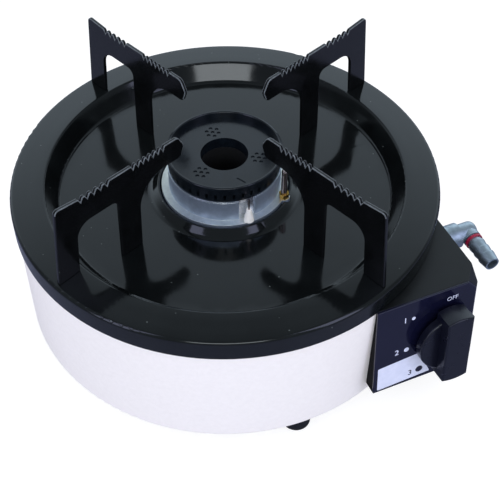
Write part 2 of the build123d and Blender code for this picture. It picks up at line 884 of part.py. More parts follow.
def valve_body():
    """Brass gas valve: neck, body, inlet and outlet bosses, with rooms for collar and plug."""
    front = valve_front()
    body = behind(front, valve_radius, valve_length)
    body += behind(front - bonnet_length(), bonnet_radius, bonnet_length())
    outlet = Pos(outlet_point.X, outlet_point.Y, outlet_point.Z) * Rot(0, -90, 0)
    body += outlet * Cylinder(outlet_boss_radius, outlet_boss_reach, align=upright)
    inlet = Pos(inlet_point.X, inlet_point.Y, inlet_point.Z)
    body += inlet * Cylinder(inlet_boss_radius, inlet_boss_reach, align=upright)
    room = front + collar_room_start
    neck = front - bonnet_length()
    body -= behind(neck, spindle_radius + running_clearance, room - neck)
    body -= behind(room, collar_radius + collar_room_gap, collar_room_length)
    plug_room = room + collar_room_length
    body -= behind(plug_room, plug_radius + running_clearance, plug_length + plug_room_past)
    tip = Cylinder(tube_radius + running_clearance, tube_socket, align=hanging)
    body -= outlet * Pos(0, 0, outlet_boss_reach) * tip
    return body - inlet * Pos(0, 0, inlet_boss_reach) * tip


def valve_nut():
    """Hexagon nut on the valve's neck, in front of the bracket."""
    nut = hexagon(valve_nut_flats, valve_nut_height)
    nut -= Cylinder(bonnet_radius + running_clearance, valve_nut_height, align=upright)
    return on_dial(0, 0, bracket_depth) * nut


def plug_start():
    """Depth of the valve plug's front face."""
    return valve_front() + collar_room_start + collar_room_length


def valve_plug():
    """Turning plug with a slot for the spindle's tang and a cross port behind it."""
    plug = behind(plug_start() + tang_gap, plug_radius, plug_length)
    slot = Box(tang_width + 2 * tang_gap, tang_thickness + 2 * tang_gap, plug_slot_depth, align=hanging)
    plug -= on_dial(0, 0, plug_start()) * slot
    port = Cylinder(tube_radius - tube_wall, 2 * plug_radius + overrun)
    return plug - on_dial(0, 0, plug_start() + plug_slot_depth + plug_radius) * Rot(0, 90, 0) * port


def valve_spindle():
    """Round spindle from the knob into the valve, flattened to a tang in the plug's slot."""
    start = -knob_gap - spindle_into_knob
    stop = plug_start() - knob_push_travel - tang_gap
    spindle = behind(start, spindle_radius, stop - start)
    tang = Box(tang_width, tang_thickness, tang_length + knob_push_travel, align=hanging)
    return spindle + on_dial(0, 0, stop) * tang


def thrust_collar():
    """Ring that slides with the spindle inside the valve and takes the return spring's push."""
    depth = valve_front() + collar_room_start + collar_room_gap
    blank = Cylinder(collar_radius, collar_height, align=hanging)
    blank -= Cylinder(spindle_radius + running_clearance, collar_height, align=hanging)
    return on_dial(0, 0, depth) * blank


def control_knob():
    """Knob with a flat on one side, a longer grip bar, a hub towards the fascia and the spindle's bore."""
    disc = Cylinder(knob_radius, knob_disc - knob_gap, align=upright)
    disc &= Pos(knob_flat - knob_radius, 0, 0) * Box(2 * knob_radius, 2 * knob_radius, 2 * knob_disc)
    disc = fillet(disc.faces().sort_by(Axis.Z)[-1].edges(), knob_edge)
    grip = Cylinder(knob_grip_radius, knob_grip - knob_gap, align=upright)
    grip &= Box(knob_grip_width, 2 * knob_grip_radius, 2 * knob_grip)
    grip = fillet(grip.faces().sort_by(Axis.Z)[-1].edges(), knob_grip_edge)
    knob = disc + grip
    bore = Cylinder(spindle_radius + running_clearance, spindle_into_knob, align=upright)
    hollow = Cylinder(knob_hub_radius, knob_hub_depth, align=upright)
    hollow -= Cylinder(spindle_radius + knob_edge, knob_hub_depth, align=upright)
    return on_dial(0, 0, -knob_gap) * (knob - bore - hollow)


def piezo_igniter():
    """Spark igniter below the valve, its collar on the bracket's back."""
    place = on_dial(0, -piezo_below, bracket_depth - piezo_nose)
    body = Cylinder(piezo_radius, piezo_length, align=hanging)
    collar = Cylinder(piezo_collar_radius, piezo_collar, align=hanging)
    return place * (body + Pos(0, 0, -piezo_nose - bracket_sheet) * collar)


def gas_tube():
    """Copper tube from the valve's outlet to the jet, with one bend in the plane of the feed."""
    start = (outlet_point.X - outlet_boss_reach + tube_socket, outlet_point.Y, mix_z)
    stop = turned(feed_angle) * Pos(jet_back - tube_socket, 0, mix_z)
    corner = (feed_corner_x, outlet_point.Y, mix_z)
    path = FilletPolyline(start, corner, tuple(stop.position), radius=feed_bend)
    return swept_tube(path, tube_radius, tube_radius - tube_wall)


def mixing_tube():
    """Tube that draws in air at its mouth and bends up into the cup's socket."""
    path = FilletPolyline(
        (mix_mouth_circle, 0, mix_z),
        (mix_rise_circle, 0, mix_z),
        (mix_rise_circle, 0, cup_floor_z),
        radius=mix_bend,
    )
    return turned(feed_angle) * swept_tube(path, mix_radius, mix_radius - mix_wall)


def feed_place(circle):
    """Place on the feed's axis at a radius, pointing away from the drum's axis."""
    return turned(feed_angle) * Pos(circle, 0, mix_z) * Rot(0, 90, 0)


def air_collar():
    """Collar on the mixing tube's mouth with side windows for air and an end wall for the jet."""
    length = air_collar_stop - air_collar_start
    collar = Cylinder(air_collar_radius, length, align=upright)
    collar -= Cylinder(mix_radius + running_clearance, length - air_collar_end, align=upright)
    collar -= Cylinder(jet_radius + running_clearance, length, align=upright)
    window_start = length - air_collar_end - air_window_length
    window = Pos(0, 0, window_start) * Box(
        air_window_width, 2 * air_collar_radius + overrun, air_window_length, align=upright
    )
    return feed_place(air_collar_start) * (collar - window)


def injector():
    """Gas jet: tip inside the collar, neck in its end wall, hexagon behind with the tube's socket."""
    neck = Cylinder(jet_radius, air_collar_end, align=hanging)
    tip = Pos(0, 0, -air_collar_end) * Cylinder(jet_tip_radius, jet_tip_length, align=hanging)
    jet = neck + tip + hexagon(jet_hex_flats, jet_hex_length)
    socket = Cylinder(tube_radius + running_clearance, tube_socket, align=hanging)
    jet -= Pos(0, 0, jet_hex_length) * socket
    bore = Cylinder(jet_bore_radius, 2 * (jet_hex_length + air_collar_end + jet_tip_length))
    return feed_place(air_collar_stop) * (jet - bore)


def gas_inlet():
    """Inlet fitting through the box's side: collar outside, threaded neck inside, bored for the swivel."""
    collar = Cylinder(inlet_collar_radius, inlet_collar_length, align=upright)
    thread = Cylinder(inlet_thread_radius, inlet_thread_length, align=hanging)
    body = collar + thread
    body -= Pos(0, 0, inlet_collar_length) * Cylinder(
        swivel_radius + running_clearance, swivel_length + seal_radius, align=hanging
    )
    body -= Cylinder(inlet_bore_radius, 2 * inlet_thread_length)
    socket = Cylinder(tube_radius + running_clearance, tube_socket, align=upright)
    return inlet_place(box_right) * (body - Pos(0, 0, -inlet_thread_length) * socket)


def inlet_nut():
    """Lock nut on the inlet's neck, inside the box's side."""
    nut = hexagon(inlet_nut_flats, inlet_nut_height)
    nut -= Cylinder(inlet_thread_radius + running_clearance, inlet_nut_height, align=upright)
    return inlet_place(box_right - box_sheet - inlet_nut_height) * Rot(0, 0, 30) * nut


def inlet_pipe():
    """Bent pipe from the inlet fitting to the valve's inlet boss."""
    start = (box_right - inlet_thread_length + tube_socket, -inlet_back, inlet_z)
    stop = (inlet_point.X, inlet_point.Y, inlet_point.Z + inlet_boss_reach - tube_socket)
    path = FilletPolyline(start, (stop[0], stop[1], inlet_z), stop, radius=inlet_bend)
    return swept_tube(path, tube_radius, tube_radius - tube_wall)


def hose_elbow():
    """Swivelling elbow: stem in the inlet, round body, and a barbed tail towards the front."""
    start = box_right + inlet_collar_length + swivel_gap
    stop = tail_x + tail_shoulder_radius
    body = Pos(start, 0, 0) * Rot(0, 90, 0) * Cylinder(elbow_radius, stop - start, align=upright)
    body = fillet(body.edges().filter_by(GeomType.CIRCLE).sort_by(Axis.X)[-1], elbow_round)
    stem_start = box_right + inlet_collar_length - swivel_length
    stem = Pos(stem_start, 0, 0) * Rot(0, 90, 0) * Cylinder(swivel_radius, start - stem_start, align=upright)
    tail = Pos(tail_x, 0, 0) * Rot(90, 0, 0) * tail_body()
    bore = Cylinder(tail_bore_radius, tail_length() + overrun, align=upright)
    bore += Pos(0, 0, tail_length() - tail_mouth_depth) * Cylinder(
        tail_mouth_radius, tail_mouth_depth + overrun, align=upright
    )
    feed = Cylinder(tail_bore_radius, tail_x - stem_start + overrun, align=upright)
    elbow = body + stem + tail - Pos(tail_x, 0, 0) * Rot(90, 0, 0) * bore
    elbow -= Pos(stem_start - overrun, 0, 0) * Rot(0, 90, 0) * feed
    return Pos(0, -inlet_back, inlet_z) * elbow


def tail_length():
    """Length of the tail from the inlet's axis to its end."""
    return tail_first_barb + tail_barb_count * tail_barb_pitch + tail_tip


def tail_body():
    """Barbed tail along Z: shoulder, ring groove and barbs whose lands share one radius."""
    outline = [(0, 0), (tail_shoulder_radius, 0), (tail_shoulder_radius, tail_shoulder)]
    outline.append((tail_core_radius, tail_shoulder))
    outline.append((tail_core_radius, tail_first_barb))
    for k in range(tail_barb_count):
        foot = tail_first_barb + k * tail_barb_pitch
        outline.append((tail_barb_radius, foot))
        outline.append((tail_barb_radius, foot + tail_barb_land))
        outline.append((tail_core_radius, foot + tail_barb_pitch))
    outline.append((tail_tip_radius, tail_length()))
    outline.append((0, tail_length()))
    return turned_body(outline)


def depth_ring():
    """Ring on the tail that shows how far the hose is pushed on."""
    start = tail_shoulder + ring_gap
    band = ring(ring_radius, tail_core_radius + running_clearance, start, start + ring_width)
    return Pos(tail_x, -inlet_back, inlet_z) * Rot(90, 0, 0) * band


def swivel_seal():
    """Seal ring at the bottom of the inlet's swivel bore."""
    band = Cylinder(swivel_radius, seal_radius, align=hanging)
    band -= Cylinder(inlet_bore_radius, seal_radius, align=hanging)
    return inlet_place(box_right + inlet_collar_length - swivel_length) * band


def lead(points, radius):
    """Wire through points, each bend as wide as its two runs allow."""
    places = [Vector(*tuple(point)) for point in points]
    radii = []
    for before, here, after in zip(places, places[1:], places[2:]):
        turn = radians((here - before).get_angle(after - here))
        shorter = min((here - before).length, (after - here).length)
        radii.append(lead_arc_share * shorter / tan(turn / 2))
    return swept_tube(FilletPolyline(*places, radius=radii), radius)


def ignition_lead():
    """Spark lead from the igniter's back end to the foot of the electrode."""
    end = bracket_depth - piezo_nose + piezo_length
    back = [on_dial(0, -piezo_below, end + run).position for run in (0, lead_straight)]
    low = seat_z - electrode_below
    foot = [turned(electrode_turn) * Pos(electrode_circle, 0, low - run) for run in (lead_straight, 0)]
    return lead((*back, *ignition_route, *[place.position for place in foot]), ignition_lead_radius)


def thermocouple_lead():
    """Thin capillary from the probe's foot to the valve's back end."""
    low = seat_z - probe_below
    foot = [turned(probe_turn) * Pos(probe_circle, 0, low - run) for run in (0, lead_straight)]
    back = [dial_point(0, valve_front() + valve_length + run) for run in (lead_straight, 0)]
    return lead((*[place.position for place in foot], *probe_route, *back), probe_lead_radius)


def build():
    """All sub-parts by name."""
    parts = {
        "drum_shell": drum_shell(),
        "base_plate": base_plate(),
        "top_tray": top_tray(),
        "burner_cup": burner_cup(),
        "clamp_ring": clamp_ring(),
        "burner_cap": burner_cap(),
        "electrode_insulator": electrode_insulator(),
        "electrode_pin": electrode_pin(),
        "thermocouple_probe": thermocouple_probe(),
        "thermocouple_nut": thermocouple_nut(),
        "thermocouple_lead": thermocouple_lead(),
        "control_box": control_box(),
        "fascia_panel": fascia_panel(),
        "valve_bracket": valve_bracket(),
        "valve_body": valve_body(),
        "valve_nut": valve_nut(),
        "valve_plug": valve_plug(),
        "valve_spindle": valve_spindle(),
        "thrust_collar": thrust_collar(),
        "control_knob": control_knob(),
        "piezo_igniter": piezo_igniter(),
        "ignition_lead": ignition_lead(),
        "gas_tube": gas_tube(),
        "mixing_tube": mixing_tube(),
        "air_collar": air_collar(),
        "injector": injector(),
        "gas_inlet": gas_inlet(),
        "inlet_nut": inlet_nut(),
        "inlet_pipe": inlet_pipe(),
        "hose_elbow": hose_elbow(),
        "depth_ring": depth_ring(),
        "swivel_seal": swivel_seal(),
    }
    support = pan_support()
    for k in range(fin_count):
        parts[f"pan_support_{k + 1}"] = turned(fin_turn + k * 360 / fin_count) * support
    for k, place in enumerate(foot_places()):
        parts[f"rubber_foot_{k + 1}"] = place * rubber_foot()
        parts[f"foot_screw_{k + 1}"] = place * foot_screw()
    for k, angle in enumerate(tray_screw_angles):
        parts[f"tray_screw_{k + 1}"] = tray_screw_place(angle) * tray_screw()
    return parts


os.makedirs("parts", exist_ok=True)
for node, shape in build().items():
    export_step(shape, f"parts/{node}.step")
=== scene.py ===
import json
import logging
import math
from dataclasses import dataclass, field
from enum import Enum, IntEnum
from typing import Any, ClassVar, Iterable, Optional, Sequence

import bmesh
import bpy
from mathutils import Matrix, Quaternion, Vector

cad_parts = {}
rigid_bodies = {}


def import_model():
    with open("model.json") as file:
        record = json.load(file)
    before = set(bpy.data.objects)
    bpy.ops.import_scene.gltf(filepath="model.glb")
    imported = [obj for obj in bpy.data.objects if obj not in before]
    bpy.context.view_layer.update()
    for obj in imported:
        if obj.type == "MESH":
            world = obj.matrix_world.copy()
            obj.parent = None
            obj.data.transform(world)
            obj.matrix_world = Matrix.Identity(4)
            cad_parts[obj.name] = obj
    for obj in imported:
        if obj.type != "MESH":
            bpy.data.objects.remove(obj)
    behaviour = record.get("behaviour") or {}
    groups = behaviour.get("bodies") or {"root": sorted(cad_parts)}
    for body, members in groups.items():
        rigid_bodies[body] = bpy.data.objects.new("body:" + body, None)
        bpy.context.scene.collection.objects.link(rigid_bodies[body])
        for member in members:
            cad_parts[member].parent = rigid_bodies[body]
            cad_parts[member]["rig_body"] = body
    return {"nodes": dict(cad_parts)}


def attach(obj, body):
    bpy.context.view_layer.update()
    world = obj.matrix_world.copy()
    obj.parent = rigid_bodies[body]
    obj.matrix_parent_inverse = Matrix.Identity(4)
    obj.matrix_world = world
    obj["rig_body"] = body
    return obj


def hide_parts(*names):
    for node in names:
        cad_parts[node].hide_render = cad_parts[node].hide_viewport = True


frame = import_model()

log = logging.getLogger("gas_burner")
MM = 0.001
MM_PER_M = 1000
# Corners this close are one corner, in a copy of a solid and in a new piece.
MERGE_M = 2e-6
FINE_MERGE_M = 1e-6
# Seams that turn less than the first are flat, and edges that turn more than the second stay crisp.
FLAT_DEG = 0.6
SMOOTH_DEG = 42
# The colour sockets of a Mix node, by number, because its other kinds have the same names.
MIX_FIRST, MIX_SECOND, MIX_RESULT = 6, 7, 2
STOVE = "stove"
WHITE = "#FFFFFF"
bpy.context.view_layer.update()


class Slot(Enum):
    """The record's material slots."""

    DRUM = "drum_paint"
    TRAY = "tray_enamel"
    SUPPORT = "support_enamel"
    SHEET = "zinc_sheet"
    SCREW = "bright_screws"
    CASTING = "cast_aluminium"
    CAP = "cap_enamel"
    CERAMIC = "ceramic"
    PROBE = "probe_steel"
    BRASS = "brass"
    COPPER = "copper"
    BOX = "box_paint"
    FASCIA = "fascia_gloss"
    KNOB = "knob_plastic"
    IGNITER = "igniter_plastic"
    LEAD = "lead_rubber"
    ELBOW = "cast_zinc"
    RING = "ring_red"
    RUBBER = "rubber"


class Grain(Enum):
    """How a surface was made, as its fine relief."""

    PEEL = "peel"
    PEBBLE = "pebble"
    DRAWN = "drawn"


class CupFace(IntEnum):
    """The finishes on the burner's cup, in the order of its materials."""

    AS_CAST = 0
    BLACKENED_SHAFT = 1
    MACHINED = 2
    TURNED = 3


def linear(code: str) -> tuple[float, float, float, float]:
    """Turns an sRGB hex colour into linear light.

    Args:
        code: Six hex digits after a hash sign.

    Returns:
        Red, green, blue and an alpha of one.
    """
    parts = [int(code[i : i + 2], 16) / 255 for i in (1, 3, 5)]
    light = [c / 12.92 if c <= 0.04045 else ((c + 0.055) / 1.055) ** 2.4 for c in parts]
    return (light[0], light[1], light[2], 1.0)


def add_node(
    tree: bpy.types.NodeTree, kind: str, sockets: Optional[dict[Any, Any]] = None, **settings: Any
) -> bpy.types.Node:
    """Adds a node with its settings, and fills or links its sockets.

    Args:
        tree: The node tree it goes into.
        kind: The node's type name.
        sockets: Input name or number to a constant, or to the output socket that feeds it.
        settings: Properties of the node itself.

    Returns:
        The new node.
    """
    node = tree.nodes.new(kind)
    for name, value in settings.items():
        setattr(node, name, value)
    for name, value in (sockets or {}).items():
        if isinstance(value, bpy.types.NodeSocket):
            tree.links.new(value, node.inputs[name])
        else:
            node.inputs[name].default_value = value
    return node


@dataclass(frozen=True)
class Finish:
    """A real material with the marks that its making leaves.

    Colour wanders between two hex values over patches of a real size, the relief has a grain of a real size
    and depth, and dust shows as sparse pale specks.
    """

    name: str
    slot: Slot
    colour: str
    shade: str
    roughness: tuple[float, float]
    patch_mm: float
    grain_mm: float
    depth_mm: float
    grain: Grain = Grain.PEEL
    metallic: float = 0.0
    ior: float = 1.5
    stretch: tuple[float, float, float] = (1.0, 1.0, 1.0)
    speck_mm: float = 0.0
    speck_share: float = 0.0
    speck_colour: str = "#525957"
    patch_detail: ClassVar[float] = 4.0
    patch_roughness: ClassVar[float] = 0.55
    colour_edges: ClassVar[tuple[float, float]] = (0.32, 0.68)
    gloss_edges: ClassVar[tuple[float, float]] = (0.3, 0.7)
    pebble_smoothness: ClassVar[float] = 0.6
    wave_detail: ClassVar[float] = 2.0
    wave_roughness: ClassVar[float] = 0.5
    speck_spacing: ClassVar[float] = 9.0
    speck_edges: ClassVar[tuple[float, float]] = (0.5, 0.9)
    made: ClassVar[dict[str, bpy.types.Material]] = {}

    def material(self) -> bpy.types.Material:
        """Gives the finish's material, made once.

        Returns:
            The material that all pieces with this finish share.
        """
        if self.name not in self.made:
            self.made[self.name] = self._make()
        return self.made[self.name]

    def _make(self) -> bpy.types.Material:
        """Builds the node tree.

        Returns:
            The new material.
        """
        material = bpy.data.materials.new(self.name)
        material.use_nodes = True
        tree = material.node_tree
        tree.nodes.clear()
        place = add_node(tree, "ShaderNodeTexCoord").outputs["Object"]
        patches = add_node(
            tree, "ShaderNodeTexNoise",
            {"Vector": place, "Scale": MM_PER_M / self.patch_mm, "Detail": self.patch_detail,
             "Roughness": self.patch_roughness})
        spread = add_node(
            tree, "ShaderNodeMapRange",
            {"Value": patches.outputs["Fac"], "From Min": self.colour_edges[0],
             "From Max": self.colour_edges[1]})
        colour = add_node(
            tree, "ShaderNodeMix",
            {"Factor": spread.outputs["Result"], MIX_FIRST: linear(self.colour),
             MIX_SECOND: linear(self.shade)},
            data_type="RGBA").outputs[MIX_RESULT]
        gloss = add_node(
            tree, "ShaderNodeMapRange",
            {"Value": patches.outputs["Fac"], "From Min": self.gloss_edges[0],
             "From Max": self.gloss_edges[1], "To Min": self.roughness[0],
             "To Max": self.roughness[1]}).outputs["Result"]
        if self.speck_share > 0:
            mask = self._specks(tree, place)
            colour = add_node(
                tree, "ShaderNodeMix",
                {"Factor": mask, MIX_FIRST: colour, MIX_SECOND: linear(self.speck_colour)},
                data_type="RGBA").outputs[MIX_RESULT]
        relief = add_node(
            tree, "ShaderNodeBump",
            {"Height": self._relief(tree, place), "Strength": 1.0, "Distance": self.depth_mm * MM})
        shader = add_node(
            tree, "ShaderNodeBsdfPrincipled",
            {"Base Color": colour, "Roughness": gloss, "Metallic": self.metallic, "IOR": self.ior,
             "Normal": relief.outputs["Normal"]})
        add_node(tree, "ShaderNodeOutputMaterial", {"Surface": shader.outputs["BSDF"]})
        return material

    def _relief(self, tree: bpy.types.NodeTree, place: bpy.types.NodeSocket) -> bpy.types.NodeSocket:
        """Makes the height of the grain.

        Args:
            tree: The material's node tree.
            place: Object coordinates.

        Returns:
            The socket with heights from 0 to 1.
        """
        scale = MM_PER_M / self.grain_mm
        if self.grain is Grain.PEBBLE:
            cells = add_node(
                tree, "ShaderNodeTexVoronoi",
                {"Vector": place, "Scale": scale, "Smoothness": self.pebble_smoothness},
                feature="SMOOTH_F1")
            return cells.outputs["Distance"]
        if self.grain is Grain.DRAWN:
            place = add_node(
                tree, "ShaderNodeMapping", {"Vector": place, "Scale": self.stretch}).outputs["Vector"]
        waves = add_node(
            tree, "ShaderNodeTexNoise",
            {"Vector": place, "Scale": scale, "Detail": self.wave_detail, "Roughness": self.wave_roughness})
        return waves.outputs["Fac"]

    def _specks(self, tree: bpy.types.NodeTree, place: bpy.types.NodeSocket) -> bpy.types.NodeSocket:
        """Makes the mask of dust specks, one in a share of wide cells.

        Args:
            tree: The material's node tree.
            place: Object coordinates.

        Returns:
            The socket that is 1 on a speck.
        """
        cell_mm = self.speck_spacing * self.speck_mm
        cells = add_node(tree, "ShaderNodeTexVoronoi", {"Vector": place, "Scale": MM_PER_M / cell_mm})
        solid, faded = (edge * self.speck_mm / cell_mm for edge in self.speck_edges)
        near = add_node(
            tree, "ShaderNodeMapRange",
            {"Value": cells.outputs["Distance"], "From Min": solid, "From Max": faded,
             "To Min": 1.0, "To Max": 0.0})
        chosen = add_node(
            tree, "ShaderNodeMath", {0: cells.outputs["Color"], 1: 1.0 - self.speck_share},
            operation="GREATER_THAN")
        return add_node(
            tree, "ShaderNodeMath", {0: near.outputs["Result"], 1: chosen.outputs[0]},
            operation="MULTIPLY").outputs[0]


# Dust, and every grain below of less than 2 mm, is really about 0.1 to 0.5 mm across. That is too fine to
# show in the render, so it is drawn coarser.

# Powder coat: clean white with the fine mottle of melted powder.
POWDER_COAT = Finish(
    "white_powder_coat", Slot.DRUM, "#F3EEEE", "#EFEAEA", (0.50, 0.62), 3.0, 1.8, 0.07)
# Vitreous enamel: black glass fused on steel, deep gloss with a faint peel and settled dust.
TRAY_ENAMEL = Finish(
    "black_vitreous_enamel", Slot.TRAY, "#080A0B", "#0C0F10", (0.07, 0.14), 22.0, 4.0, 0.004,
    speck_mm=0.6, speck_share=0.25)
# The same enamel on the cut plates, a little duller where pans rub.
SUPPORT_ENAMEL = Finish(
    "black_enamel_on_plate", Slot.SUPPORT, "#060708", "#0A0B0D", (0.12, 0.20), 9.0, 3.0, 0.004,
    speck_mm=0.5, speck_share=0.06)
# Enamel rubbed thin by pans along the top edges, with grey steel showing through. The light grey is also a
# painted highlight that stands in for the glints on those edges.
WORN_EDGE_AND_GLINT = Finish(
    "worn_edge_painted_glint", Slot.SUPPORT, "#6E7479", "#4A4F53", (0.22, 0.34), 2.5, 1.0, 0.004)
# Galvanised sheet: grey with the cloudy spangle of zinc.
ZINC_SHEET = Finish(
    "galvanised_steel_sheet", Slot.SHEET, "#A5A9AC", "#8D9296", (0.30, 0.48), 8.0, 5.0, 0.01,
    Grain.PEBBLE, metallic=1.0)
# Zinc-plated screw: bright with a faint yellow tint.
ZINC_SCREW = Finish(
    "zinc_plated_steel", Slot.SCREW, "#B9B7AE", "#A29F95", (0.22, 0.36), 3.0, 0.6, 0.01, metallic=1.0)
# Die-cast aluminium: bluish silver, satin, with the fine pebble of the die.
CAST_ALUMINIUM = Finish(
    "die_cast_aluminium", Slot.CASTING, "#C2CEDF", "#B0BCCD", (0.54, 0.68), 6.0, 0.9, 0.015,
    Grain.PEBBLE, metallic=1.0)
# Machined edge of the casting: bright, with fine tool marks.
MACHINED_ALUMINIUM = Finish(
    "machined_aluminium", Slot.CASTING, "#F0F2F5", "#E2E6EA", (0.22, 0.32), 3.0, 0.5, 0.004,
    Grain.DRAWN, metallic=1.0, stretch=(1.0, 1.0, 0.1))
# Turned face of the casting's flange: paler and less blue than the skin as cast.
TURNED_ALUMINIUM = Finish(
    "turned_aluminium", Slot.CASTING, "#ECEEE9", "#DDE0DB", (0.34, 0.46), 3.0, 0.5, 0.004,
    metallic=1.0)
# The inside of the burner's shaft: dead black, faintly brown in patches.
SHAFT_INNER_BLACK = Finish(
    "black_inside_shaft", Slot.CASTING, "#050506", "#0C0B0B", (0.75, 0.90), 5.0, 0.8, 0.02, Grain.PEBBLE)
# Heat-proof coat on the cap: satin black, sheen like slate.
CAP_COAT = Finish(
    "satin_heat_proof_coat", Slot.CAP, "#0A0E13", "#10161D", (0.18, 0.27), 6.0, 1.2, 0.006,
    speck_mm=0.5, speck_share=0.05)
# Glazed ceramic: clean white with a wet gloss.
GLAZED_CERAMIC = Finish(
    "glazed_white_ceramic", Slot.CERAMIC, "#FAF9F6", "#F1EFEA", (0.10, 0.18), 3.0, 2.0, 0.01, ior=1.52)
# Drawn probe steel: pinkish where the flame has tempered it.
PROBE_STEEL = Finish(
    "drawn_stainless_rod", Slot.PROBE, "#B7A9A4", "#9A8B86", (0.16, 0.28), 4.0, 0.5, 0.006,
    Grain.DRAWN, metallic=1.0, stretch=(1.0, 1.0, 0.08))
# Turned brass: warm yellow with fine tool lines and dull patches.
TURNED_BRASS = Finish(
    "turned_brass", Slot.BRASS, "#C9A453", "#A98742", (0.18, 0.34), 4.0, 0.5, 0.008,
    Grain.DRAWN, metallic=1.0, stretch=(0.1, 1.0, 1.0))
# Drawn copper tube: rosy, with brown tarnish clouds.
DRAWN_COPPER = Finish(
    "drawn_copper_tube", Slot.COPPER, "#C98563", "#96593F", (0.20, 0.38), 8.0, 0.8, 0.006, metallic=1.0)
# Satin paint on the folded box: nearly black with a soft peel.
BOX_PAINT = Finish(
    "dark_satin_paint", Slot.BOX, "#08090B", "#0C0F11", (0.30, 0.40), 10.0, 1.6, 0.010,
    ior=1.42, speck_mm=0.5, speck_share=0.06)
# Painted shade on the box's left side: a darker, matt black with hardly any sheen, so that side looks in
# shade.
BOX_SHADED_SIDE = Finish(
    "painted_shade_matt_black", Slot.BOX, "#030304", "#060607", (0.86, 0.94), 8.0, 1.2, 0.012,
    Grain.PEBBLE, ior=1.33)
# Printed acrylic panel: navy ink under a clear gloss.
FASCIA_GLOSS = Finish(
    "navy_printed_acrylic", Slot.FASCIA, "#0E0F24", "#101128", (0.08, 0.12), 12.0, 4.0, 0.003, ior=1.49)
# White screen ink on the panel: thin, slightly bluish, satin.
WHITE_INK = Finish(
    "white_screen_ink", Slot.FASCIA, "#DCE0F6", "#D2D7EE", (0.30, 0.40), 5.0, 0.5, 0.004)
# Navy screen ink over the white strip: nearly black, satin.
NAVY_INK = Finish(
    "navy_screen_ink", Slot.FASCIA, "#14152A", "#1B1C33", (0.30, 0.40), 5.0, 0.5, 0.004)
# Moulded ABS: black with a blue cast, satin gloss.
KNOB_ABS = Finish(
    "black_moulded_abs", Slot.KNOB, "#050716", "#080A1A", (0.26, 0.34), 6.0, 0.9, 0.006, ior=1.53)
# Moulded nylon of the igniter: cream and waxy.
IGNITER_PLASTIC = Finish(
    "cream_moulded_nylon", Slot.IGNITER, "#DEDACB", "#D2CDBC", (0.45, 0.55), 6.0, 0.8, 0.012)
# Silicone sleeve: dull brick red.
SILICONE = Finish(
    "red_silicone_sleeve", Slot.LEAD, "#A63A2C", "#8E2F24", (0.50, 0.62), 5.0, 0.6, 0.012, ior=1.43)
# Plated zinc casting: light bluish grey, soft sheen, cast pebble.
PLATED_ZINC = Finish(
    "plated_zinc_casting", Slot.ELBOW, "#BCC9D2", "#A4B1BA", (0.40, 0.52), 4.0, 0.8, 0.015,
    Grain.PEBBLE, metallic=1.0)
# Moulded nylon of the ring: clear crimson with a soft sheen.
RED_PLASTIC = Finish(
    "red_moulded_nylon", Slot.RING, "#A8143C", "#931034", (0.28, 0.38), 3.0, 0.6, 0.008, ior=1.53)
# Moulded rubber: matt black with a faint bloom in patches.
MOULDED_RUBBER = Finish(
    "black_moulded_rubber", Slot.RUBBER, "#0A0B10", "#101117", (0.55, 0.72), 4.0, 0.6, 0.02, ior=1.52)


def new_piece(name: str, shape: bmesh.types.BMesh, finish: Finish, body: str) -> bpy.types.Object:
    """Turns a bmesh into a finished piece that rides on a body.

    Args:
        name: The piece's name.
        shape: The mesh, in metres and in place. It is freed.
        finish: The finish it takes.
        body: The body it moves with.

    Returns:
        The new object.
    """
    mesh = bpy.data.meshes.new(name)
    for face in shape.faces:
        face.smooth = True
    shape.to_mesh(mesh)
    shape.free()
    mesh.set_sharp_from_angle(angle=math.radians(SMOOTH_DEG))
    piece = bpy.data.objects.new(name, mesh)
    bpy.context.scene.collection.objects.link(piece)
    mesh.materials.append(finish.material())
    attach(piece, body)
    log.info("piece %s: %d faces, %s", name, len(mesh.polygons), finish.name)
    return piece


@dataclass
class Assembly:
    """What all sub-assemblies share: dressing solids and softening their edges."""

    def dress(self, finish: Finish, *nodes: str) -> None:
        """Gives solids that stay as they are a finish.

        Args:
            finish: The finish.
            nodes: The solids' names.
        """
        for node in nodes:
            mesh = frame["nodes"][node].data
            mesh.materials.clear()
            mesh.materials.append(finish.material())
            log.info("solid %s: %s", node, finish.name)

    def soften(
        self, finish: Finish, node: str, width_mm: float, limit_deg: float = 25.0, segments: int = 2
    ) -> bpy.types.Object:
        """Replaces a solid by a copy whose sharp edges are broken, as cut and coated edges are.

        Args:
            finish: The finish of the copy.
            node: The solid's name.
            width_mm: How wide the broken edge is.
            limit_deg: Edges that turn more than this are broken.
            segments: Steps across the broken edge.

        Returns:
            The new object.
        """
        source = frame["nodes"][node]
        shape = bmesh.new()
        shape.from_mesh(source.data)
        bmesh.ops.remove_doubles(shape, verts=shape.verts, dist=MERGE_M)
        bmesh.ops.dissolve_limit(
            shape, angle_limit=math.radians(FLAT_DEG), use_dissolve_boundaries=False,
            verts=shape.verts, edges=shape.edges)
        limit = math.radians(limit_deg)
        sharp = [e for e in shape.edges if len(e.link_faces) == 2 and e.calc_face_angle(0.0) > limit]
        bmesh.ops.bevel(
            shape, geom=sharp, offset=width_mm * MM, offset_type="OFFSET", affect="EDGES", segments=segments,
            profile=0.5, clamp_overlap=True, material=-1)
        piece = new_piece(f"{node}_dressed", shape, finish, source["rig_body"])
        level = piece.modifiers.new("level_normals", "WEIGHTED_NORMAL")
        level.keep_sharp = True
        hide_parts(node)
        return piece


@dataclass
class Drum(Assembly):
    """White drum with its base and feet."""

    feet: int = 4

    def build(self) -> None:
        """Dresses the drum, the base plate, the feet and their screws."""
        self.dress(POWDER_COAT, "drum_shell")
        self.dress(ZINC_SHEET, "base_plate")
        for k in range(1, self.feet + 1):
            self.dress(MOULDED_RUBBER, f"rubber_foot_{k}")
            self.dress(ZINC_SCREW, f"foot_screw_{k}")


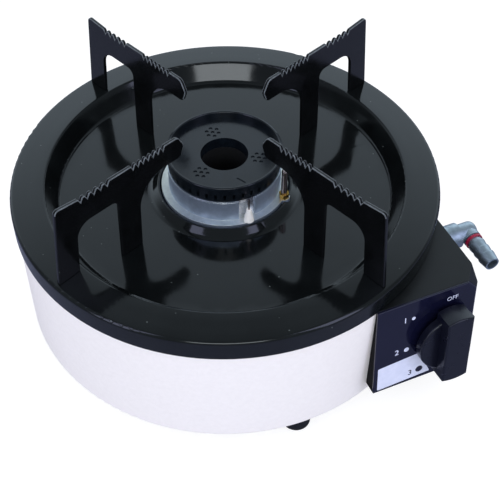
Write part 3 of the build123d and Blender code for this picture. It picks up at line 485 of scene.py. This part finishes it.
@dataclass
class SpillTray(Assembly):
    """Enamelled tray with its screws and the four upright supports."""

    supports: int = 4
    screws: int = 3
    edge_mm: float = 0.55
    support_turn_deg: float = 20.8
    worn_glint_above_mm: float = 152.0
    worn_glint_slant: tuple[float, float] = (0.3, 0.95)
    cut_face: float = 0.15
    smooth_turn: float = 0.77
    ring_step_mm: float = 0.02
    slope_step: float = 0.02

    def build(self) -> None:
        """Dresses the tray and breaks the edges of the supports."""
        self._press_tray()
        for k in range(self.supports):
            plate = self.soften(SUPPORT_ENAMEL, f"pan_support_{k + 1}", self.edge_mm)
            self._wear_and_glint(plate.data, self.support_turn_deg + 360.0 * k / self.supports)
        for k in range(1, self.screws + 1):
            self.dress(ZINC_SCREW, f"tray_screw_{k}")

    def _press_tray(self) -> None:
        """Replaces the tray by a copy whose shading runs true round the axis, so its bends gleam unbroken."""
        source = frame["nodes"]["top_tray"]
        shape = bmesh.new()
        shape.from_mesh(source.data)
        bmesh.ops.remove_doubles(shape, verts=shape.verts, dist=MERGE_M)
        piece = new_piece("top_tray_dressed", shape, TRAY_ENAMEL, source["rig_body"])
        piece.data.normals_split_custom_set(self._true_normals(piece.data))
        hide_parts("top_tray")

    def _true_normals(self, mesh: bpy.types.Mesh) -> list[Vector]:
        """Works out normals as a turned shape has them.

        Every corner on one ring round the axis gets one slope, the mean of the faces that meet there
        smoothly. Faces of slots and holes keep their own normals.

        Args:
            mesh: The tray's mesh.

        Returns:
            A normal for each corner of each face.
        """
        rings: dict[tuple[int, int], dict[tuple[int, int], Vector]] = {}
        slopes: dict[int, Vector] = {}
        for face in mesh.polygons:
            out = face.center.xy.normalized()
            if abs(face.normal.xy.dot(Vector((-out.y, out.x)))) > self.cut_face:
                continue
            slope = Vector((face.normal.xy.dot(out), face.normal.z)).normalized()
            slopes[face.index] = slope
            kind = (round(slope.x / self.slope_step), round(slope.y / self.slope_step))
            for corner in face.vertices:
                ring = rings.setdefault(self._ring(mesh, corner), {})
                ring[kind] = ring.get(kind, Vector((0.0, 0.0))) + slope * face.area
        normals: list[Vector] = []
        for face in mesh.polygons:
            for corner in face.vertices:
                if face.index not in slopes:
                    normals.append(face.normal.copy())
                    continue
                slope = slopes[face.index]
                ring = rings[self._ring(mesh, corner)]
                met = [s for s in ring.values() if s.dot(slope) > self.smooth_turn * s.length]
                mean = sum(met, Vector((0.0, 0.0))).normalized()
                out = mesh.vertices[corner].co.xy.normalized()
                normals.append(Vector((out.x * mean.x, out.y * mean.x, mean.y)))
        return normals

    def _ring(self, mesh: bpy.types.Mesh, corner: int) -> tuple[int, int]:
        """Gives the ring that a corner lies on: its reach and height in steps."""
        place, step = mesh.vertices[corner].co, self.ring_step_mm * MM
        return round(place.xy.length / step), round(place.z / step)

    def _wear_and_glint(self, plate: bpy.types.Mesh, turn_deg: float) -> None:
        """Paints the broken edges along a support's top light grey, as wear and as a painted highlight for
        their glints.

        Args:
            plate: The support's mesh.
            turn_deg: The way that the support points, about the drum's axis.
        """
        plate.materials.append(WORN_EDGE_AND_GLINT.material())
        turn = math.radians(turn_deg)
        across = Vector((-math.sin(turn), math.cos(turn), 0.0))
        least, most = self.worn_glint_slant
        # Only bevel faces that slant sideways, high on the support, take the light grey: wear, and a painted
        # highlight for the glints.
        for face in plate.polygons:
            slant = least < abs(face.normal.dot(across)) < most
            face.material_index = int(slant and face.center.z > self.worn_glint_above_mm * MM)


@dataclass
class RingBurner(Assembly):
    """Cast cup, loose cap, spark electrode and flame probe."""

    cup_edge_mm: float = 0.6
    black_shaft_radius_mm: float = 16.0
    rim_radius_mm: float = 36.2
    rim_z_mm: float = 119.6
    notch_radius_mm: float = 34.8
    notch_depth_mm: float = 1.5
    notch_facing: float = -0.9
    flange_z_mm: float = 104.4
    flange_step_mm: float = 1.0
    # The chamfer's lower and upper edge: reach from the axis, and height.
    lip_low_mm: tuple[float, float] = (37.04, 119.6)
    lip_high_mm: tuple[float, float] = (36.46, 120.36)
    lip_inset_mm: float = 0.5
    lip_gap_deg: float = 18.0
    lip_gap_at_deg: float = -90.0
    lip_steps: int = 120

    def build(self) -> None:
        """Dresses the burner."""
        cup = self.soften(CAST_ALUMINIUM, "burner_cup", self.cup_edge_mm).data
        for finish in (SHAFT_INNER_BLACK, MACHINED_ALUMINIUM, TURNED_ALUMINIUM):
            cup.materials.append(finish.material())
        for face in cup.polygons:
            face.material_index = self._face_finish(cup, face)
        self._turn_lip()
        self.dress(CAP_COAT, "burner_cap")
        self.dress(CAST_ALUMINIUM, "clamp_ring", "mixing_tube", "air_collar")
        self.dress(GLAZED_CERAMIC, "electrode_insulator")
        self.dress(PROBE_STEEL, "electrode_pin", "thermocouple_probe")
        self.dress(TURNED_BRASS, "thermocouple_nut")

    def _face_finish(self, cup: bpy.types.Mesh, face: bpy.types.MeshPolygon) -> CupFace:
        """Tells how a face of the cup was made.

        Args:
            cup: The cup's mesh.
            face: One of its faces.

        Returns:
            The finish that the face takes.
        """
        corners = [cup.vertices[index].co for index in face.vertices]
        reaches = [corner.xy.length / MM for corner in corners]
        lowest = min(corner.z for corner in corners) / MM
        highest = max(corner.z for corner in corners) / MM
        # Faces inside the shaft are made dead black.
        if max(reaches) < self.black_shaft_radius_mm:
            return CupFace.BLACKENED_SHAFT
        if lowest > self.rim_z_mm and min(reaches) > self.rim_radius_mm:
            return CupFace.MACHINED
        in_notch = min(reaches) > self.notch_radius_mm > max(reaches) - self.notch_depth_mm
        if in_notch and face.normal.y < self.notch_facing:
            return CupFace.MACHINED
        if lowest > self.flange_z_mm and highest < self.flange_z_mm + self.flange_step_mm:
            return CupFace.TURNED
        return CupFace.AS_CAST

    def _turn_lip(self) -> None:
        """Turns the bright chamfer along the cup's top edge, open at the electrode's notch."""
        shape = bmesh.new()
        start = math.radians(self.lip_gap_at_deg + self.lip_gap_deg / 2)
        corner = (self.lip_low_mm[0] - self.lip_inset_mm, self.lip_low_mm[1])
        section = [
            shape.verts.new((reach * MM * math.cos(start), reach * MM * math.sin(start), height * MM))
            for reach, height in (self.lip_low_mm, self.lip_high_mm, corner)]
        face = shape.faces.new(section)
        bmesh.ops.spin(
            shape, geom=[face, *face.edges, *face.verts], cent=(0.0, 0.0, 0.0), axis=(0.0, 0.0, 1.0),
            angle=math.radians(360.0 - self.lip_gap_deg), steps=self.lip_steps, use_duplicate=False)
        bmesh.ops.remove_doubles(shape, verts=shape.verts, dist=FINE_MERGE_M)
        bmesh.ops.recalc_face_normals(shape, faces=shape.faces)
        new_piece("cup_lip_chamfer", shape, MACHINED_ALUMINIUM, STOVE)


@dataclass
class Dial:
    """Places on the leaning fascia, in millimetres right of and above the knob's axis."""

    origin_mm: tuple[float, float, float] = (91.8, -138.92, 57.7)
    lean_deg: float = 6.0
    ink_mm: float = 0.12
    ink_coats_on_strip: float = 2.0
    strip: tuple[tuple[float, float], ...] = ((-46.4, -13.4), (-16.9, -11.1), (-7.8, -31.9), (-46.2, -33.6))
    strip_round_mm: float = 0.8
    strip_steps: int = 4
    setting_on_strip: int = 3
    dots: tuple[tuple[float, float, float], ...] = (
        (-23.5, 23.1, 1.3), (-26.7, -3.6, 1.8), (-15.9, -26.6, 2.6))
    dot_segments: int = 32
    words: tuple[tuple[str, float, float, float], ...] = (
        ("1", -29.3, 23.3, 6.4), ("2", -33.6, -3.7, 6.4), ("3", -22.6, -27.3, 6.4), ("OFF", 3.5, 29.2, 4.6))

    def place(self) -> Matrix:
        """Gives the turn and move from the dial's plane, with Z out of the fascia, to the frame."""
        turn = Matrix.Rotation(math.radians(90.0 - self.lean_deg), 4, "X")
        return Matrix.Translation(Vector(self.origin_mm) * MM) @ turn

    def ink_height(self, finish: Finish) -> float:
        """Gives the height in millimetres of an ink, more for what lies over the strip."""
        return self.ink_mm * (self.ink_coats_on_strip if finish is NAVY_INK else 1.0)


@dataclass
class ControlBox(Assembly):
    """Folded box, gloss fascia and its printed dial."""

    edge_mm: float = 0.6
    fascia_edge_mm: float = 0.4
    shaded_side_facing: float = -0.7
    dial: Dial = field(default_factory=Dial)

    def build(self) -> None:
        """Breaks the box's edges, dresses the fascia and prints the dial."""
        box = self.soften(BOX_PAINT, "control_box", self.edge_mm).data
        box.materials.append(BOX_SHADED_SIDE.material())
        # Faces that look to the left take the darker matt black, which is painted shade on that side.
        for face in box.polygons:
            face.material_index = int(face.normal.x < self.shaded_side_facing)
        self.soften(FASCIA_GLOSS, "fascia_panel", self.fascia_edge_mm)
        self._strip()
        for number, (right, up, radius) in enumerate(self.dial.dots, 1):
            self._dot(f"dial_dot_{number}", right, up, radius, self._ink(str(number)))
        for text, right, up, height in self.dial.words:
            self._word(text, right, up, height, self._ink(text))

    def _ink(self, mark: str) -> Finish:
        """Gives the ink of a mark: navy on the strip, white elsewhere."""
        return NAVY_INK if mark == str(self.dial.setting_on_strip) else WHITE_INK

    def _raise(self, shape: bmesh.types.BMesh, faces: Iterable[bmesh.types.BMFace], height_mm: float) -> None:
        """Gives flat faces the thickness of ink.

        Args:
            shape: The mesh that holds them.
            faces: Flat faces in the dial's plane.
            height_mm: How far the ink stands up.
        """
        grown = bmesh.ops.extrude_face_region(shape, geom=list(faces))["geom"]
        tops = [g for g in grown if isinstance(g, bmesh.types.BMVert)]
        bmesh.ops.translate(shape, verts=tops, vec=Vector((0, 0, height_mm * MM)))
        bmesh.ops.recalc_face_normals(shape, faces=shape.faces)

    def _strip(self) -> None:
        """Lays the white strip behind the lowest setting."""
        shape = bmesh.new()
        corners = [shape.verts.new((x * MM, y * MM, 0.0)) for x, y in self.dial.strip]
        bmesh.ops.contextual_create(shape, geom=corners)
        bmesh.ops.bevel(
            shape, geom=list(shape.verts), offset=self.dial.strip_round_mm * MM, offset_type="OFFSET",
            affect="VERTICES", segments=self.dial.strip_steps, profile=0.5, material=-1)
        self._raise(shape, shape.faces, self.dial.ink_mm)
        bmesh.ops.transform(shape, matrix=self.dial.place(), verts=shape.verts)
        new_piece("dial_strip", shape, WHITE_INK, STOVE)

    def _dot(self, name: str, right: float, up: float, radius: float, finish: Finish) -> None:
        """Prints one round setting mark.

        Args:
            name: The piece's name.
            right: Millimetres right of the knob's axis.
            up: Millimetres above it along the fascia.
            radius: Its radius in millimetres.
            finish: The ink.
        """
        shape = bmesh.new()
        bmesh.ops.create_circle(
            shape, cap_ends=True, segments=self.dial.dot_segments, radius=radius * MM)
        self._raise(shape, shape.faces, self.dial.ink_height(finish))
        bmesh.ops.translate(shape, verts=shape.verts, vec=Vector((right, up, 0.0)) * MM)
        bmesh.ops.transform(shape, matrix=self.dial.place(), verts=shape.verts)
        new_piece(name, shape, finish, STOVE)

    def _word(self, text: str, right: float, up: float, height: float, finish: Finish) -> None:
        """Prints a number or word, centred on a place.

        Args:
            text: What it says.
            right: Millimetres right of the knob's axis.
            up: Millimetres above it along the fascia.
            height: The letters' size in millimetres.
            finish: The ink.
        """
        curve = bpy.data.curves.new(f"dial_{text}", "FONT")
        curve.body = text
        curve.size = height * MM
        curve.align_x = "CENTER"
        curve.align_y = "CENTER"
        curve.extrude = self.dial.ink_height(finish) * MM
        holder = bpy.data.objects.new(f"dial_{text}_outline", curve)
        mesh = bpy.data.meshes.new_from_object(holder)
        bpy.data.objects.remove(holder)
        shape = bmesh.new()
        shape.from_mesh(mesh)
        bmesh.ops.remove_doubles(shape, verts=shape.verts, dist=FINE_MERGE_M)
        bmesh.ops.translate(shape, verts=shape.verts, vec=Vector((right, up, 0.0)) * MM)
        bmesh.ops.transform(shape, matrix=self.dial.place(), verts=shape.verts)
        new_piece(f"dial_label_{text.lower()}", shape, finish, STOVE)


@dataclass
class Knob(Assembly):
    """Round knob with its grip bar, and what turns with it."""

    edge_mm: float = 0.9
    edge_limit_deg: float = 35.0
    edge_steps: int = 3

    def build(self) -> None:
        """Breaks the knob's edges and dresses the spindle."""
        self.soften(KNOB_ABS, "control_knob", self.edge_mm, self.edge_limit_deg, self.edge_steps)
        self.dress(TURNED_BRASS, "valve_spindle", "thrust_collar", "valve_plug")


@dataclass
class HoseInlet(Assembly):
    """Swivelling elbow with its barbed tail and red ring."""

    def build(self) -> None:
        """Dresses the inlet."""
        self.dress(PLATED_ZINC, "hose_elbow", "gas_inlet")
        self.dress(RED_PLASTIC, "depth_ring")
        self.dress(TURNED_BRASS, "inlet_nut")
        self.dress(DRAWN_COPPER, "inlet_pipe")
        self.dress(MOULDED_RUBBER, "swivel_seal")


@dataclass
class GasTrain(Assembly):
    """Valve, igniter, tubes and leads inside the box and the drum."""

    def build(self) -> None:
        """Dresses the inner pieces."""
        self.dress(ZINC_SHEET, "valve_bracket")
        self.dress(TURNED_BRASS, "valve_body", "valve_nut", "injector")
        self.dress(IGNITER_PLASTIC, "piezo_igniter")
        self.dress(SILICONE, "ignition_lead")
        self.dress(DRAWN_COPPER, "gas_tube", "thermocouple_lead")


@dataclass
class Lamp:
    """A soft box of the studio."""

    name: str
    place: tuple[float, float, float]
    size: tuple[float, float]
    watts: float
    colour: str
    target: tuple[float, float, float] = (0.0, 0.0, 0.08)

    def build(self) -> None:
        """Hangs the lamp and points it at the object."""
        light = bpy.data.lights.new(self.name, "AREA")
        light.shape = "RECTANGLE"
        light.size, light.size_y = self.size
        light.energy = self.watts
        light.color = linear(self.colour)[:3]
        lamp = bpy.data.objects.new(self.name, light)
        lamp.location = self.place
        aim = Vector(self.target) - Vector(self.place)
        lamp.rotation_euler = aim.to_track_quat("-Z", "Y").to_euler()
        bpy.context.scene.collection.objects.link(lamp)


@dataclass
class Studio:
    """White floor, soft light and the photograph's camera."""

    eye: tuple[float, float, float] = (-0.1918, -0.4689, 0.5847)
    aim: tuple[float, float, float] = (0.0, 0.0, 0.0125)
    roll_deg: float = -0.99
    lens_mm: float = 75.6
    sensor_mm: float = 36.0
    shift: tuple[float, float] = (0.0473, 0.0456)
    floor_m: float = 6.0
    # The floor as it bounces light, as gloss mirrors it, and as the eye sees it, with a glow.
    paper: str = "#E7E7E8"
    paper_mirrored: str = "#7C8197"
    paper_shown: str = "#959595"
    paper_glow: float = 0.80
    # The surroundings: what falls on everything, and the backdrop that gloss mirrors.
    ambient: float = 0.84
    ambient_tint: str = "#FAFCFF"
    backdrop_tint: str = "#DFF1FF"
    backdrop_rise: tuple[float, float] = (0.58, 0.875)
    backdrop_level: tuple[float, float] = (1.083, 0.0228)
    backdrop_turn: tuple[float, float] = (0.2, 0.75)
    surround_level: float = 0.2508
    lamps: tuple[Lamp, ...] = (
        Lamp("left_soft_box", (-1.25, -0.354, 1.0), (0.5, 1.3), 4.8, "#D2D8FF"),
        Lamp("right_soft_box", (0.646, -1.128, 1.0), (0.5, 1.3), 5.0, "#D2D8FF"),
        Lamp("front_panel", (-0.72, -1.76, 1.34), (1.25, 0.5), 8.5, "#F2FAFF"),
    )

    def build(self) -> None:
        """Sets the stage."""
        scene = bpy.context.scene
        scene.view_settings.view_transform = "Standard"
        self._floor()
        self._world(scene)
        for lamp in self.lamps:
            lamp.build()
        self._camera(scene)

    def _floor(self) -> None:
        """Lays the pale floor, which looks white but keeps the object's shadow."""
        shape = bmesh.new()
        bmesh.ops.create_grid(shape, x_segments=1, y_segments=1, size=self.floor_m)
        mesh = bpy.data.meshes.new("studio_floor")
        shape.to_mesh(mesh)
        shape.free()
        floor = bpy.data.objects.new("studio_floor", mesh)
        bpy.context.scene.collection.objects.link(floor)
        material = bpy.data.materials.new("pale_studio_paper")
        material.use_nodes = True
        tree = material.node_tree
        tree.nodes.clear()
        paper = add_node(tree, "ShaderNodeBsdfDiffuse", {"Color": linear(self.paper)})
        dim = add_node(tree, "ShaderNodeBsdfDiffuse", {"Color": linear(self.paper_mirrored)})
        shown = add_node(tree, "ShaderNodeBsdfDiffuse", {"Color": linear(self.paper_shown)})
        glow = add_node(tree, "ShaderNodeEmission", {"Color": linear(WHITE), "Strength": self.paper_glow})
        pale = add_node(tree, "ShaderNodeAddShader", {0: shown.outputs[0], 1: glow.outputs[0]})
        add_node(tree, "ShaderNodeOutputMaterial", {"Surface": self._by_ray(tree, paper, dim, pale)})
        mesh.materials.append(material)

    def _world(self, scene: bpy.types.Scene) -> None:
        """Makes the surroundings: white to the eye; in reflections a pale backdrop that dims with height.

        Args:
            scene: The scene that gets the world.
        """
        world = bpy.data.worlds.new("studio_surround")
        world.use_nodes = True
        scene.world = world
        tree = world.node_tree
        tree.nodes.clear()
        away = -Vector((self.eye[0], self.eye[1], 0.0)).normalized()
        direction = add_node(tree, "ShaderNodeTexCoord").outputs["Generated"]
        level = add_node(
            tree, "ShaderNodeVectorMath", {0: direction, 1: (1.0, 1.0, 0.0)}, operation="MULTIPLY")
        bearing = add_node(
            tree, "ShaderNodeVectorMath", {0: level.outputs["Vector"]}, operation="NORMALIZE")
        facing = add_node(
            tree, "ShaderNodeVectorMath", {0: bearing.outputs["Vector"], 1: away}, operation="DOT_PRODUCT")
        behind = add_node(
            tree, "ShaderNodeMapRange",
            {"Value": facing.outputs["Value"], "From Min": self.backdrop_turn[0],
             "From Max": self.backdrop_turn[1]},
            interpolation_type="SMOOTHSTEP")
        height = add_node(tree, "ShaderNodeSeparateXYZ", {"Vector": direction})
        backdrop = add_node(
            tree, "ShaderNodeMapRange",
            {"Value": height.outputs["Z"], "From Min": self.backdrop_rise[0],
             "From Max": self.backdrop_rise[1], "To Min": self.backdrop_level[0],
             "To Max": self.backdrop_level[1]})
        gradient = add_node(
            tree, "ShaderNodeMath",
            {0: backdrop.outputs["Result"], 1: behind.outputs["Result"], 2: self.surround_level},
            operation="MULTIPLY_ADD")
        soft = add_node(
            tree, "ShaderNodeBackground", {"Color": linear(self.ambient_tint), "Strength": self.ambient})
        mirrored = add_node(
            tree, "ShaderNodeBackground",
            {"Color": linear(self.backdrop_tint), "Strength": gradient.outputs[0]})
        white = add_node(tree, "ShaderNodeBackground", {"Color": linear(WHITE), "Strength": 1.0})
        add_node(tree, "ShaderNodeOutputWorld", {"Surface": self._by_ray(tree, soft, mirrored, white)})

    def _by_ray(
        self, tree: bpy.types.NodeTree, lit: bpy.types.Node, mirrored: bpy.types.Node, shown: bpy.types.Node
    ) -> bpy.types.NodeSocket:
        """Chooses a shader by the ray that meets it.

        Args:
            tree: The node tree of the floor or the world.
            lit: What lights the object.
            mirrored: What gloss mirrors.
            shown: What the eye sees, straight or through glass.

        Returns:
            The socket of the chosen shader.
        """
        path = add_node(tree, "ShaderNodeLightPath")
        seen = add_node(
            tree, "ShaderNodeMath",
            {0: path.outputs["Is Camera Ray"], 1: path.outputs["Is Transmission Ray"]}, operation="MAXIMUM")
        unseen = add_node(
            tree, "ShaderNodeMixShader",
            {0: path.outputs["Is Glossy Ray"], 1: lit.outputs[0], 2: mirrored.outputs[0]})
        return add_node(
            tree, "ShaderNodeMixShader",
            {0: seen.outputs[0], 1: unseen.outputs[0], 2: shown.outputs[0]}).outputs[0]

    def _camera(self, scene: bpy.types.Scene) -> None:
        """Puts the camera where the photograph was taken.

        Args:
            scene: The scene that looks through it.
        """
        lens = bpy.data.cameras.new("photo_camera")
        lens.lens = self.lens_mm
        lens.sensor_width = self.sensor_mm
        lens.shift_x, lens.shift_y = self.shift
        camera = bpy.data.objects.new("photo_camera", lens)
        aim = Vector(self.aim) - Vector(self.eye)
        turn = aim.to_track_quat("-Z", "Y") @ Quaternion((0.0, 0.0, 1.0), math.radians(self.roll_deg))
        camera.location = self.eye
        camera.rotation_euler = turn.to_euler()
        scene.collection.objects.link(camera)
        scene.camera = camera


def main() -> None:
    """Builds the studio and every sub-assembly in order."""
    logging.basicConfig(level=logging.INFO, format="%(name)s %(message)s")
    Studio().build()
    for assembly in (Drum(), SpillTray(), RingBurner(), ControlBox(), Knob(), HoseInlet(), GasTrain()):
        assembly.build()


if __name__ == "__main__":
    main()
